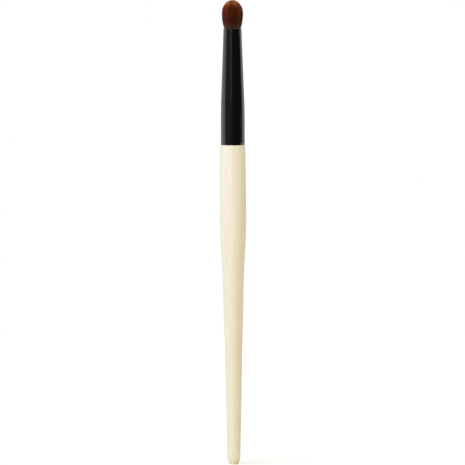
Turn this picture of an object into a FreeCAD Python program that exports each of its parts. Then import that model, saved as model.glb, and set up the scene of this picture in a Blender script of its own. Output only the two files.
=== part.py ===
import FreeCAD
import Part
import Sketcher
import math
import os
from FreeCAD import Vector

# An eyeshadow brush: a turned wooden handle, a drawn metal ferrule and a round tuft of hair that
# is tied, glued into the ferrule and free to bend above it. The brush stands on its butt: the
# origin is the centre of the butt's flat face and +Z runs up the axis to the tip of the hair.
# Every turned piece is drawn as a half-section, radius against height, about that axis.

# Driving sizes in millimetres (the number of turns is a count), with what each one measures.
SIZES = (
    # Handle
    ("handle_length", 117.0, "butt face to the shoulder that the ferrule stands on"),
    ("butt_diameter", 4.62, "where the straight taper would meet the butt face"),
    ("butt_round_inset", 0.81, "how far the butt's flat face lies inside that diameter, per side"),
    ("butt_round_radius", 5.0, "round that joins the flat face to the taper"),
    ("waist_drop", 51.1, "shoulder down to the waist, where the straight taper begins"),
    ("waist_draw", 0.985, "how far the waist draws in from the grip, per side"),
    ("grip_drop", 25.4, "shoulder down to the widest place of the grip"),
    ("grip_swell", 0.265, "how far the grip swells past the shoulder, per side"),
    ("shoulder_step", 0.13, "how far the shoulder stands out past the ferrule, per side"),
    ("shoulder_round_radius", 0.2, "eased edge of the shoulder"),
    ("tenon_length", 11.0, "tenon that the ferrule slides over"),
    ("tenon_chamfer", 0.6, "lead-in at the tenon's end"),
    # Ferrule
    ("ferrule_length", 42.7, "foot to the top of the rim"),
    ("ferrule_wall", 0.3, "drawn tube's wall"),
    ("socket_diameter", 8.72, "outside of the straight socket"),
    ("socket_length", 12.8, "foot to where socket and taper would cross"),
    ("blend_length", 4.5, "how far the curve between them runs down the socket from there"),
    ("mouth_diameter", 6.58, "outside of the taper at the top of the rim"),
    # Bonded joints inside the ferrule
    ("tenon_glue_gap", 0.1, "room for glue between tenon and ferrule, per side"),
    ("bond_clearance", 0.02, "hairline between bonded pieces"),
    ("root_length", 2.575, "lower end of the tie down to the cut roots"),
    ("root_flare", 0.3, "how far the cut roots spread past the tied neck, per side"),
    ("neck_draw", 0.8, "how far the tie draws the hair in from the ferrule, per side"),
    ("tie_depth", 11.2, "rim down to the middle of the tie"),
    ("thread_diameter", 0.35, "binding thread"),
    ("thread_pitch", 0.8, "rise of one turn of the thread"),
    ("thread_turns", 5, "turns of the thread round the neck"),
    ("thread_clearance", 0.05, "thread to the hair inside it and the glue outside it"),
    ("glue_rise", 1.975, "upper end of the tie up to the line that the glue has risen to"),
    ("glue_cap", 2.5, "glue under the cut roots"),
    # Hair above the rim
    ("tuft_widest_height", 5.5, "rim up to the tuft's widest place"),
    ("tuft_swell", 0.55, "how far the tuft swells past the rim there, per side"),
    ("dome_rise", 0.96, "how much taller the dome over the widest place is than a half-ball"),
    ("tip_draw", 0.54, "how much smaller the tip's round is than the widest radius"),
    ("bend_gap", 0.3, "room between the zones of hair that bend on each other"),
    ("toe_pivot_drop", 3.3, "widest place down to the centre that the toe bends about"),
    ("toe_ball_margin", 0.25, "how much the belly's round top is larger than the tuft's widest radius"),
)

# Expressions that several pieces share, in the cells of the sheet.
MOUTH_RADIUS = "(sizes.mouth_diameter / 2)"
SOCKET_RADIUS = "(sizes.socket_diameter / 2)"
TENON_RADIUS = f"({SOCKET_RADIUS} - sizes.ferrule_wall - sizes.tenon_glue_gap)"
SHOULDER_RADIUS = f"({SOCKET_RADIUS} + sizes.shoulder_step)"
GRIP_RADIUS = f"({SHOULDER_RADIUS} + sizes.grip_swell)"
WAIST_RADIUS = f"({GRIP_RADIUS} - sizes.waist_draw)"
TAPER_SLOPE = f"(({SOCKET_RADIUS} - {MOUTH_RADIUS}) / (sizes.ferrule_length - sizes.socket_length))"
RIM_HEIGHT = "(sizes.handle_length + sizes.ferrule_length)"
TUFT_RADIUS = f"({MOUTH_RADIUS} + sizes.tuft_swell)"
TUFT_SIDE_RADIUS = "((sizes.tuft_widest_height^2 + sizes.tuft_swell^2) / (2 * sizes.tuft_swell))"
TUFT_SIDE_CENTRE = f"({TUFT_RADIUS} - {TUFT_SIDE_RADIUS})"
TIP_RADIUS = f"({TUFT_RADIUS} - sizes.tip_draw)"
TIP_HEIGHT = f"(sizes.tuft_widest_height + {TUFT_RADIUS} + sizes.dome_rise)"
TOE_PIVOT = "(sizes.tuft_widest_height - sizes.toe_pivot_drop)"
BELLY_BALL = f"({TUFT_RADIUS} + sizes.toe_ball_margin)"
TIE_HALF_LENGTH = (
    "(sizes.thread_pitch * sizes.thread_turns / 2 + sizes.thread_diameter / 2 + sizes.thread_clearance)"
)
TIE_TOP = f"(sizes.tie_depth - {TIE_HALF_LENGTH})"
TIE_BOTTOM = f"(sizes.tie_depth + {TIE_HALF_LENGTH})"
ROOT_DEPTH = f"({TIE_BOTTOM} + sizes.root_length)"


def bore_radius(depth):
    """Expression for the inside of the ferrule's taper at a depth below the rim."""
    return f"({MOUTH_RADIUS} - sizes.ferrule_wall + ({depth}) * {TAPER_SLOPE})"


NECK_RADIUS = f"({bore_radius('sizes.tie_depth')} - sizes.neck_draw)"


def make_sheet(doc):
    """Spreadsheet with one named cell for each driving size."""
    sheet = doc.addObject("Spreadsheet::Sheet", "sizes")
    for row, (alias, number, meaning) in enumerate(SIZES, start=1):
        sheet.set(f"A{row}", alias)
        sheet.set(f"B{row}", str(number))
        sheet.setAlias(f"B{row}", alias)
        sheet.set(f"C{row}", meaning)
    doc.recompute()
    return sheet


def circle_crossing(centre, radius, other_centre, other_radius):
    """The crossing of two circles that lies furthest out from the axis."""
    way = other_centre - centre
    apart = way.Length
    along = (apart ** 2 + radius ** 2 - other_radius ** 2) / (2 * apart)
    across = math.sqrt(radius ** 2 - along ** 2)
    way.normalize()
    foot = centre + way * along
    side = Vector(way.y, -way.x, 0)
    crossings = (foot + side * across, foot - side * across)
    return max(crossings, key=lambda point: point.x)


class Outline:
    """A closed half-section in a body's XZ plane, held by constraints that read the sheet."""

    def __init__(self, body, name):
        self.body = body
        self.sketch = body.newObject("Sketcher::SketchObject", name)
        plane = next(item for item in body.Origin.OriginFeatures if item.Role == "XZ_Plane")
        self.sketch.AttachmentSupport = [(plane, "")]
        self.sketch.MapMode = "FlatFace"
        self.edges = {}
        self.smooth = set()

    def value(self, expression):
        return float(self.sketch.evalExpression(str(expression)))

    def at(self, radius, height):
        """Point from two expressions."""
        return Vector(self.value(radius), self.value(height), 0)

    def line(self, name, start, end):
        index = self.sketch.addGeometry(Part.LineSegment(start, end), False)
        self.edges[name] = {"index": index, "start": 1, "end": 2}

    def arc(self, name, start, end, centre, smooth=(), turn=None):
        """Arc about a centre; smooth names the edges that it runs into tangentially.

        An arc of half a turn also says which way it goes: turn is 1 for anticlockwise.
        """
        if turn is None:
            turn = (start - centre).cross(end - centre).z
        circle = Part.Circle(centre, Vector(0, 0, 1), (start - centre).Length)
        first, last = (start, end) if turn > 0 else (end, start)
        angles = [math.atan2(point.y - centre.y, point.x - centre.x) for point in (first, last)]
        if angles[1] < angles[0]:
            angles[1] += 2 * math.pi
        index = self.sketch.addGeometry(Part.ArcOfCircle(circle, *angles), False)
        start_place, end_place = (1, 2) if turn > 0 else (2, 1)
        self.edges[name] = {"index": index, "start": start_place, "end": end_place, "centre": 3}
        self.smooth.update(frozenset((name, other)) for other in smooth)

    def close(self):
        """Join each edge to the next, and the last to the first."""
        names = list(self.edges)
        for name, following in zip(names, names[1:] + names[:1]):
            edge, other = self.edges[name], self.edges[following]
            kind = "Tangent" if frozenset((name, following)) in self.smooth else "Coincident"
            ends = (edge["index"], edge["end"], other["index"], other["start"])
            self.sketch.addConstraint(Sketcher.Constraint(kind, *ends))

    def bind(self, label, kind, places, expression):
        """Dimension that follows an expression."""
        constraint = Sketcher.Constraint(kind, *places, self.value(expression))
        index = self.sketch.addConstraint(constraint)
        self.sketch.renameConstraint(index, label)
        self.sketch.setExpression(f"Constraints.{label}", expression)

    def pin(self, name, place, radius=None, height=None):
        """Hold an edge's start, end or centre at a radius, a height or both; a zero lies on the axis."""
        point = (self.edges[name]["index"], self.edges[name][place])
        for axis, kind, expression in ((-2, "DistanceX", radius), (-1, "DistanceY", height)):
            if expression == "0":
                self.sketch.addConstraint(Sketcher.Constraint("PointOnObject", *point, axis))
            elif expression is not None:
                self.bind(f"{name}_{place}_{kind}", kind, (-1, 1) + point, expression)

    def size(self, name, expression):
        """Hold an arc's radius."""
        self.bind(f"{name}_radius", "Radius", (self.edges[name]["index"],), expression)

    def relate(self, kind, *names):
        """Relation such as Horizontal, Vertical, Parallel or Equal between whole edges."""
        indices = [self.edges[name]["index"] for name in names]
        self.sketch.addConstraint(Sketcher.Constraint(kind, *indices))

    def share_centre(self, name, other):
        """Make two arcs concentric."""
        places = [(self.edges[arc]["index"], self.edges[arc]["centre"]) for arc in (name, other)]
        self.sketch.addConstraint(Sketcher.Constraint("Coincident", *places[0], *places[1]))

    def pass_through(self, name, label, radius, height):
        """Make an edge, or its continuation, pass through a point."""
        index = self.sketch.addGeometry(Part.Point(self.at(radius, height)), True)
        self.edges[label] = {"index": index, "start": 1, "end": 1}
        self.pin(label, "start", radius, height)
        del self.edges[label]
        line = self.edges[name]["index"]
        self.sketch.addConstraint(Sketcher.Constraint("PointOnObject", index, 1, line))

    def turn(self):
        """Solve the outline and turn it about the body's axis."""
        self.sketch.Document.recompute()
        if self.sketch.solve() != 0 or not self.sketch.FullyConstrained:
            raise RuntimeError(f"{self.sketch.Name} is not fully held by its sizes")
        turned = self.body.newObject("PartDesign::Revolution", f"{self.body.Name}_turned")
        turned.Profile = self.sketch
        turned.ReferenceAxis = (self.sketch, ["V_Axis"])
        turned.Angle = 360
        self.sketch.Document.recompute()
        return turned


def add_body(doc, name, height):
    """Empty body for one piece, placed at a height on the brush's axis."""
    body = doc.addObject("PartDesign::Body", name)
    body.Label = name
    if height != "0":
        body.setExpression("Placement.Base.z", height)
    return body


def ring_edge(feature, radius, height):
    """Name of the circular edge of a turned feature at a radius and height."""
    def distance(edge):
        if not isinstance(edge.Curve, Part.Circle):
            return math.inf
        return abs(edge.Curve.Radius - radius) + abs(edge.Curve.Center.z - height)
    edges = feature.Shape.Edges
    nearest = min(range(len(edges)), key=lambda index: distance(edges[index]))
    return f"Edge{nearest + 1}"


def make_handle(doc):
    """Turned handle: domed butt, long taper, waist, swelling grip, shoulder and tenon."""
    body = add_body(doc, "handle", "0")
    outline = Outline(body, "handle_outline")
    waist_height = "(sizes.handle_length - sizes.waist_drop)"
    grip_height = "(sizes.handle_length - sizes.grip_drop)"
    flat_radius = "(sizes.butt_diameter / 2 - sizes.butt_round_inset)"
    tenon_height = "(sizes.handle_length + sizes.tenon_length)"

    foot = outline.at("0", "0")
    flat_edge = outline.at(flat_radius, "0")
    taper_foot = outline.at("sizes.butt_diameter / 2", "0")
    waist = outline.at(WAIST_RADIUS, waist_height)
    grip = outline.at(GRIP_RADIUS, grip_height)
    shoulder = outline.at(SHOULDER_RADIUS, "sizes.handle_length")
    tenon_root = outline.at(TENON_RADIUS, "sizes.handle_length")
    tenon_top = outline.at(TENON_RADIUS, tenon_height)
    tenon_centre = outline.at("0", tenon_height)

    # The butt's round touches the taper line and passes through the edge of the flat face.
    up = (waist - taper_foot).normalize()
    outward = Vector(up.y, -up.x, 0)
    round_radius = outline.value("sizes.butt_round_radius")
    inset = (flat_edge - taper_foot).dot(outward) + round_radius
    rise = (flat_edge - taper_foot).dot(up) + math.sqrt(round_radius ** 2 - inset ** 2)
    round_top = taper_foot + up * rise
    round_centre = round_top - outward * round_radius

    # Waist and belly are two arcs of one radius: the belly leaves the grip upright, and the waist's
    # hollow runs into the taper.
    drop = waist - grip
    spread = outward + Vector(1, 0, 0)
    lean = drop.dot(spread)
    bend_radius = drop.dot(drop) / (math.sqrt(lean ** 2 + (4 - spread.dot(spread)) * drop.dot(drop)) - lean)
    belly_centre = grip - Vector(bend_radius, 0, 0)
    waist_centre = waist + outward * bend_radius
    turning_point = (belly_centre + waist_centre) / 2

    swell = outline.value("sizes.grip_swell")
    reach = outline.value("sizes.grip_drop")
    barrel_centre = grip - Vector((reach ** 2 + swell ** 2) / (2 * swell), 0, 0)

    outline.line("butt_face", foot, flat_edge)
    outline.arc("butt_round", flat_edge, round_top, round_centre, smooth=("taper",))
    outline.line("taper", round_top, waist)
    outline.arc("waist", waist, turning_point, waist_centre, smooth=("taper", "belly"))
    outline.arc("belly", turning_point, grip, belly_centre)
    outline.arc("barrel", grip, shoulder, barrel_centre)
    outline.line("shoulder", shoulder, tenon_root)
    outline.line("tenon_side", tenon_root, tenon_top)
    outline.line("tenon_end", tenon_top, tenon_centre)
    outline.line("axis", tenon_centre, foot)
    outline.close()
    outline.pin("butt_face", "start", "0", "0")
    outline.pin("butt_face", "end", flat_radius, "0")
    outline.size("butt_round", "sizes.butt_round_radius")
    outline.pass_through("taper", "taper_foot", "sizes.butt_diameter / 2", "0")
    outline.pin("taper", "end", WAIST_RADIUS, waist_height)
    outline.relate("Equal", "waist", "belly")
    outline.pin("belly", "end", GRIP_RADIUS, grip_height)
    outline.pin("belly", "centre", height=grip_height)
    outline.pin("barrel", "centre", height=grip_height)
    outline.pin("barrel", "end", SHOULDER_RADIUS, "sizes.handle_length")
    outline.relate("Horizontal", "shoulder")
    outline.pin("shoulder", "end", radius=TENON_RADIUS)
    outline.relate("Vertical", "tenon_side")
    outline.pin("tenon_side", "end", height=tenon_height)
    outline.relate("Horizontal", "tenon_end")
    outline.pin("tenon_end", "end", radius="0")
    turned = outline.turn()

    eased = body.newObject("PartDesign::Fillet", "shoulder_round")
    eased.Base = (turned, [ring_edge(turned, shoulder.x, shoulder.y)])
    eased.setExpression("Radius", "sizes.shoulder_round_radius")
    doc.recompute()
    lead_in = body.newObject("PartDesign::Chamfer", "tenon_lead_in")
    lead_in.Base = (eased, [ring_edge(eased, tenon_top.x, tenon_top.y)])
    lead_in.setExpression("Size", "sizes.tenon_chamfer")
    doc.recompute()
    return body


def make_ferrule(doc):
    """Seamless drawn tube: straight socket, long taper and a rounded rim, of one wall throughout."""
    body = add_body(doc, "ferrule", "sizes.handle_length")
    outline = Outline(body, "ferrule_outline")
    inner_radius = f"({SOCKET_RADIUS} - sizes.ferrule_wall)"
    straight = "(sizes.socket_length - sizes.blend_length)"
    rim_centre_height = "(sizes.ferrule_length - sizes.ferrule_wall / 2)"

    inner_foot = outline.at(inner_radius, "0")
    outer_foot = outline.at(SOCKET_RADIUS, "0")
    socket_top = outline.at(SOCKET_RADIUS, straight)
    bore_top = outline.at(inner_radius, straight)
    corner = outline.at(SOCKET_RADIUS, "sizes.socket_length")
    mouth = outline.at(MOUTH_RADIUS, "sizes.ferrule_length")
    wall = outline.value("sizes.ferrule_wall")

    up = (mouth - corner).normalize()
    inward = Vector(-up.y, up.x, 0)
    taper_foot = corner + up * outline.value("sizes.blend_length")
    half_turn = math.atan2(-up.x, up.y) / 2
    blend_radius = outline.value("sizes.blend_length") / math.tan(half_turn)
    blend_centre = socket_top - Vector(blend_radius, 0, 0)
    rim_outer = mouth + up * ((outline.value(rim_centre_height) - mouth.y) / up.y)
    rim_inner = rim_outer + inward * wall
    rim_centre = (rim_outer + rim_inner) / 2

    outline.line("foot", inner_foot, outer_foot)
    outline.line("socket", outer_foot, socket_top)
    outline.arc("blend", socket_top, taper_foot, blend_centre, smooth=("socket", "taper"))
    outline.line("taper", taper_foot, rim_outer)
    outline.arc("rim", rim_outer, rim_inner, rim_centre, smooth=("taper", "bore_taper"), turn=1)
    outline.line("bore_taper", rim_inner, taper_foot + inward * wall)
    outline.arc("bore_blend", taper_foot + inward * wall, bore_top, blend_centre,
                smooth=("bore_taper", "bore_socket"))
    outline.line("bore_socket", bore_top, inner_foot)
    outline.close()
    outline.pin("foot", "start", inner_radius, "0")
    outline.pin("foot", "end", SOCKET_RADIUS, "0")
    outline.relate("Vertical", "socket")
    outline.pin("socket", "end", height=straight)
    outline.pass_through("taper", "taper_corner", SOCKET_RADIUS, "sizes.socket_length")
    outline.pass_through("taper", "taper_mouth", MOUTH_RADIUS, "sizes.ferrule_length")
    outline.relate("Parallel", "taper", "bore_taper")
    outline.pin("rim", "centre", height=rim_centre_height)
    outline.share_centre("blend", "bore_blend")
    outline.relate("Vertical", "bore_socket")
    outline.turn()
    return body


def make_tenon_glue(doc):
    """Thin sleeve of glue between the tenon and the ferrule's straight socket."""
    body = add_body(doc, "tenon_glue", "sizes.handle_length")
    outline = Outline(body, "tenon_glue_outline")
    inner_radius = f"({TENON_RADIUS} + sizes.bond_clearance)"
    outer_radius = f"({SOCKET_RADIUS} - sizes.ferrule_wall - sizes.bond_clearance)"
    top = "(sizes.socket_length - sizes.blend_length)"
    corners = [
        outline.at(inner_radius, "sizes.bond_clearance"),
        outline.at(outer_radius, "sizes.bond_clearance"),
        outline.at(outer_radius, top),
        outline.at(inner_radius, top),
    ]
    names = ("foot", "outside", "top", "inside")
    for name, start, end in zip(names, corners, corners[1:] + corners[:1]):
        outline.line(name, start, end)
    outline.close()
    outline.pin("foot", "start", inner_radius, "sizes.bond_clearance")
    outline.relate("Horizontal", "foot")
    outline.pin("foot", "end", radius=outer_radius)
    outline.relate("Vertical", "outside")
    outline.pin("outside", "end", height=top)
    outline.relate("Horizontal", "top")
    outline.relate("Vertical", "inside")
    outline.turn()
    return body


def make_hair_heel(doc):
    """Hair held in the ferrule: a round top at the rim, a neck drawn in by the tie, and cut roots."""
    body = add_body(doc, "hair_heel", RIM_HEIGHT)
    outline = Outline(body, "hair_heel_outline")
    stations = (
        ("0", f"-{ROOT_DEPTH}"),
        (f"({NECK_RADIUS} + sizes.root_flare)", f"-{ROOT_DEPTH}"),
        (NECK_RADIUS, f"-{TIE_BOTTOM}"),
        (NECK_RADIUS, f"-{TIE_TOP}"),
        (f"({bore_radius('0')} - sizes.bond_clearance)", "sizes.bond_clearance"),
    )
    points = [outline.at(radius, height) for radius, height in stations]
    names = ("roots", "root_side", "neck", "throat")
    for name, start, end in zip(names, points, points[1:]):
        outline.line(name, start, end)
    seat_height = points[-1].y
    ball = outline.value(MOUTH_RADIUS)
    ball_edge = Vector(math.sqrt(ball ** 2 - seat_height ** 2), seat_height, 0)
    outline.line("seat", points[-1], ball_edge)
    outline.arc("round_top", ball_edge, Vector(0, ball, 0), Vector(0, 0, 0))
    outline.line("axis", Vector(0, ball, 0), points[0])
    outline.close()
    outline.pin("roots", "start", *stations[0])
    for name, station in zip(names, stations[1:]):
        outline.pin(name, "end", *station)
    outline.relate("Horizontal", "seat")
    outline.pin("round_top", "centre", "0", "0")
    outline.size("round_top", MOUTH_RADIUS)
    outline.pin("round_top", "end", radius="0")
    outline.turn()
    return body


def tuft_side_crossing(outline, pivot, ball):
    """Where a ball about a pivot on the axis cuts the side of the tuft."""
    side_centre = outline.at(TUFT_SIDE_CENTRE, "sizes.tuft_widest_height")
    side_radius = outline.value(TUFT_SIDE_RADIUS)
    return circle_crossing(outline.at("0", pivot), outline.value(ball), side_centre, side_radius)


def hold_tuft_side(outline, name):
    """Hold an arc on the side of the tuft, which runs from the rim to the widest place."""
    outline.pin(name, "centre", TUFT_SIDE_CENTRE, "sizes.tuft_widest_height")
    outline.size(name, TUFT_SIDE_RADIUS)


def hold_ball(outline, name, pivot, ball):
    """Hold an arc on a ball about a pivot on the axis."""
    outline.pin(name, "centre", "0", pivot)
    outline.size(name, ball)


def make_hair_belly(doc):
    """Lower half of the free hair, hollow below to turn on the heel and round above for the toe."""
    body = add_body(doc, "hair_belly", RIM_HEIGHT)
    outline = Outline(body, "hair_belly_outline")
    hollow = f"({MOUTH_RADIUS} + sizes.bend_gap)"
    hollow_top = outline.at("0", hollow)
    low_edge = tuft_side_crossing(outline, "0", hollow)
    high_edge = tuft_side_crossing(outline, TOE_PIVOT, BELLY_BALL)
    top = outline.at("0", f"{TOE_PIVOT} + {BELLY_BALL}")
    side_centre = outline.at(TUFT_SIDE_CENTRE, "sizes.tuft_widest_height")
    outline.arc("hollow", hollow_top, low_edge, outline.at("0", "0"))
    outline.arc("side", low_edge, high_edge, side_centre)
    outline.arc("round_top", high_edge, top, outline.at("0", TOE_PIVOT))
    outline.line("axis", top, hollow_top)
    outline.close()
    hold_ball(outline, "hollow", "0", hollow)
    outline.pin("hollow", "start", radius="0")
    hold_tuft_side(outline, "side")
    hold_ball(outline, "round_top", TOE_PIVOT, BELLY_BALL)
    outline.pin("round_top", "end", radius="0")
    outline.turn()
    return body


def make_hair_toe(doc):
    """Upper half of the free hair: the domed end that carries the powder."""
    body = add_body(doc, "hair_toe", RIM_HEIGHT)
    outline = Outline(body, "hair_toe_outline")
    hollow = f"({BELLY_BALL} + sizes.bend_gap)"
    tip_centre_height = f"({TIP_HEIGHT} - {TIP_RADIUS})"
    hollow_top = outline.at("0", f"{TOE_PIVOT} + {hollow}")
    low_edge = tuft_side_crossing(outline, TOE_PIVOT, hollow)
    widest = outline.at(TUFT_RADIUS, "sizes.tuft_widest_height")
    tip = outline.at("0", TIP_HEIGHT)
    tip_centre = outline.at("0", tip_centre_height)
    tip_radius = outline.value(TIP_RADIUS)
    # The dome leaves the widest place upright and runs into the tip's round.
    rise = tip_centre.y - widest.y
    dome_radius = (widest.x ** 2 + rise ** 2 - tip_radius ** 2) / (2 * (widest.x - tip_radius))
    dome_centre = widest - Vector(dome_radius, 0, 0)
    dome_top = tip_centre + (tip_centre - dome_centre).normalize() * tip_radius
    side_centre = outline.at(TUFT_SIDE_CENTRE, "sizes.tuft_widest_height")
    outline.arc("hollow", hollow_top, low_edge, outline.at("0", TOE_PIVOT))
    outline.arc("side", low_edge, widest, side_centre)
    outline.arc("dome", widest, dome_top, dome_centre, smooth=("tip",))
    outline.arc("tip", dome_top, tip, tip_centre)
    outline.line("axis", tip, hollow_top)
    outline.close()
    hold_ball(outline, "hollow", TOE_PIVOT, hollow)
    outline.pin("hollow", "start", radius="0")
    hold_tuft_side(outline, "side")
    outline.pin("side", "end", height="sizes.tuft_widest_height")
    outline.pin("dome", "centre", height="sizes.tuft_widest_height")
    hold_ball(outline, "tip", tip_centre_height, TIP_RADIUS)
    outline.pin("tip", "end", radius="0")
    outline.turn()
    return body


def make_hair_glue(doc):
    """Glue that has risen round the tied hair and set under its roots."""
    body = add_body(doc, "hair_glue", RIM_HEIGHT)
    outline = Outline(body, "hair_glue_outline")
    bottom = f"({ROOT_DEPTH} + sizes.glue_cap)"
    surface = f"({TIE_TOP} - sizes.glue_rise)"
    pocket = f"({NECK_RADIUS} + sizes.thread_diameter + 2 * sizes.thread_clearance)"
    snug = "sizes.bond_clearance"
    neck = f"({NECK_RADIUS} + {snug})"
    # The hair narrows evenly from the rim to the neck, and the glue's upper edge meets it on the way.
    mouth_hair = f"({bore_radius('0')} - {snug})"
    narrowing = f"(({mouth_hair} - {NECK_RADIUS}) / ({TIE_TOP} + {snug}))"
    upper_hair = f"({mouth_hair} - ({surface} + {snug}) * {narrowing})"
    stations = (
        ("floor", "0", f"-{bottom}"),
        ("foot", f"({bore_radius(bottom)} - {snug})", f"-{bottom}"),
        ("outside", f"({bore_radius(surface)} - {snug})", f"-{surface}"),
        ("upper_edge", f"({upper_hair} + {snug})", f"-{surface}"),
        ("throat", neck, f"-{TIE_TOP}"),
        ("pocket_top", pocket, f"-{TIE_TOP}"),
        ("pocket", pocket, f"-{TIE_BOTTOM}"),
        ("pocket_bottom", neck, f"-{TIE_BOTTOM}"),
        ("root_side", f"({NECK_RADIUS} + sizes.root_flare + {snug})", f"(-{ROOT_DEPTH} - {snug})"),
        ("root_floor", "0", f"(-{ROOT_DEPTH} - {snug})"),
    )
    points = [outline.at(radius, height) for _, radius, height in stations]
    names = [name for name, _, _ in stations]
    for name, start, end in zip(names[1:] + ["axis"], points, points[1:] + points[:1]):
        outline.line(name, start, end)
    outline.close()
    for name, radius, height in stations[1:]:
        outline.pin(name, "end", radius, height)
    outline.pin("foot", "start", *stations[0][1:])
    outline.turn()
    return body


def arc_about_corner(start, corner, end):
    """Arc that leaves start and reaches end along the two sides of a corner."""
    middle = (start + end) / 2
    half_chord = (end - start).Length / 2
    bow = corner - middle
    bulge = half_chord * math.tan(math.atan2(bow.Length, half_chord) / 2)
    return Part.Arc(start, middle + bow.normalize() * bulge, end).toShape()


def biarc(start, start_way, end, end_way):
    """Two arcs that join two points and directions smoothly."""
    chord = end - start
    square = 2 * (1 - start_way.dot(end_way))
    linear = 2 * chord.dot(start_way + end_way)
    reach = (math.sqrt(linear ** 2 + 4 * square * chord.dot(chord)) - linear) / (2 * square)
    first_corner = start + start_way * reach
    last_corner = end - end_way * reach
    middle = (first_corner + last_corner) / 2
    return [arc_about_corner(start, first_corner, middle), arc_about_corner(middle, last_corner, end)]


def make_binding_thread(doc, sheet):
    """Thread wound round the neck of the hair as one unbroken tube, with short straight ends."""
    def value(expression):
        return float(sheet.evalExpression(expression))

    thread_radius = value("sizes.thread_diameter / 2")
    wound_radius = value(f"{NECK_RADIUS} + sizes.thread_clearance + sizes.thread_diameter / 2")
    pitch = value("sizes.thread_pitch")
    turns = int(value("sizes.thread_turns"))
    quarters = 4 * turns
    start_height = -value("sizes.tie_depth") - pitch * turns / 2

    def winding(quarter):
        angle = quarter * math.pi / 2
        point = Vector(wound_radius * math.cos(angle), wound_radius * math.sin(angle),
                       start_height + pitch * quarter / 4)
        way = Vector(-wound_radius * math.sin(angle), wound_radius * math.cos(angle), pitch / (2 * math.pi))
        return point, way.normalize()

    first, first_way = winding(0)
    last, last_way = winding(quarters)
    tail = 2 * thread_radius
    edges = [Part.LineSegment(first - first_way * tail, first).toShape()]
    for quarter in range(quarters):
        edges += biarc(*winding(quarter), *winding(quarter + 1))
    edges.append(Part.LineSegment(last, last + last_way * tail).toShape())
    path = Part.Wire(edges)
    section = Part.Wire(Part.makeCircle(thread_radius, first - first_way * tail, first_way))

    thread = doc.addObject("Part::Feature", "binding_thread")
    thread.Label = "binding_thread"
    thread.Shape = path.makePipeShell([section], True, False)
    thread.setExpression("Placement.Base.z", RIM_HEIGHT)

    tube_volume = math.pi * thread_radius ** 2 * path.Length
    samples = path.discretize(Number=quarters * 12)
    step = path.Length / (len(samples) - 1)
    half_turn = int(math.pi * wound_radius / step)
    gap = min(
        (samples[low] - samples[high]).Length
        for low in range(len(samples))
        for high in range(low + half_turn, len(samples))
    ) - 2 * thread_radius
    print(f"binding thread: volume {thread.Shape.Volume / tube_volume:.4f} of section times length, "
          f"least gap to itself {gap:.2f} mm")
    return thread


def check(doc, nodes):
    """Stop unless every object was made and every piece is one valid solid."""
    for item in doc.Objects:
        if "Invalid" in item.State or "Error" in item.State:
            raise RuntimeError(f"{item.Name} could not be made")
    for node in nodes:
        if node.Shape.isNull() or not node.Shape.isValid() or len(node.Shape.Solids) != 1:
            raise RuntimeError(f"{node.Label} is not one valid solid")


def main():
    doc = FreeCAD.newDocument("eyeshadow_brush")
    sheet = make_sheet(doc)
    nodes = [
        make_handle(doc),
        make_ferrule(doc),
        make_tenon_glue(doc),
        make_hair_heel(doc),
        make_hair_belly(doc),
        make_hair_toe(doc),
        make_hair_glue(doc),
        make_binding_thread(doc, sheet),
    ]
    doc.recompute()
    check(doc, nodes)
    os.makedirs("parts", exist_ok=True)
    for node in nodes:
        node.Shape.exportStep(f"parts/{node.Label}.step")
        print(f"{node.Label}: {node.Shape.Volume:.2f} cubic mm")


main()
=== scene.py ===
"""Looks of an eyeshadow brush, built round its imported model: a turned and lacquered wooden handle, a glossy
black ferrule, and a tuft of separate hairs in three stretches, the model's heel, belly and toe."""

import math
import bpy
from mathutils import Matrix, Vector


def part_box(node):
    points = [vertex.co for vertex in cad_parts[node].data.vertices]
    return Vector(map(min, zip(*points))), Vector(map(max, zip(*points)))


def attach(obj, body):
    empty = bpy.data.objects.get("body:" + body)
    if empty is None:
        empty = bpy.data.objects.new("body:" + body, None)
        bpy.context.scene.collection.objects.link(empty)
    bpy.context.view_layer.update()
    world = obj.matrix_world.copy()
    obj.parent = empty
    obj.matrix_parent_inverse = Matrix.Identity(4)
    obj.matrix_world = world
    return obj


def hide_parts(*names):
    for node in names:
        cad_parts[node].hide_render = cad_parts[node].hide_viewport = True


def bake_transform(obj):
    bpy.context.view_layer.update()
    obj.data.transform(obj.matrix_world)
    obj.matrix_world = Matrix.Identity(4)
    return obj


bl_info = {
    "name": "Eyeshadow Brush",
    "version": (1, 0, 0),
    "blender": (4, 5, 0),
    "location": "3D View > Sidebar > Eyeshadow Brush",
    "description": "Builds an eyeshadow brush with its studio, round the brush's packed model",
    "category": "Add Mesh",
}

import bpy
from mathutils import Matrix, Vector

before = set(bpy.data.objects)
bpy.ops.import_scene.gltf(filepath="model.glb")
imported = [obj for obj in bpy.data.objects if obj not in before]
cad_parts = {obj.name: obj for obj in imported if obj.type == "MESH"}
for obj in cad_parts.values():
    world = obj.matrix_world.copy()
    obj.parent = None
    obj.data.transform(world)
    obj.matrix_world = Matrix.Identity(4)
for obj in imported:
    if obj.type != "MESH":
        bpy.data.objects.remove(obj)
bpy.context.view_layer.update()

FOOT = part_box("ferrule")[0].z
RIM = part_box("ferrule")[1].z
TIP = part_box("hair_toe")[1].z
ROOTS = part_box("hair_heel")[0].z
TENON_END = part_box("handle")[1].z

MM = 0.001
BAKE_MAP = "OFBake"
GOLDEN_ANGLE = math.pi * (3 - math.sqrt(5))
ROUND_SEGMENTS = 128
PROFILE_STEP = 1.0 * MM
MERGE_DISTANCE = 0.001 * MM
CREASE_ANGLE = math.radians(35)
HAIR_SIDES = 3
HAIR_RINGS = 5
# At 32 triangles a hair, this many keep a piece under 200,000.
MOST_HAIRS = 6200
# How unevenly a strand's rings stand, and how far along the strand its taper starts.
RING_SPREAD = 0.6
TAPER_START = 0.3
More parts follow.
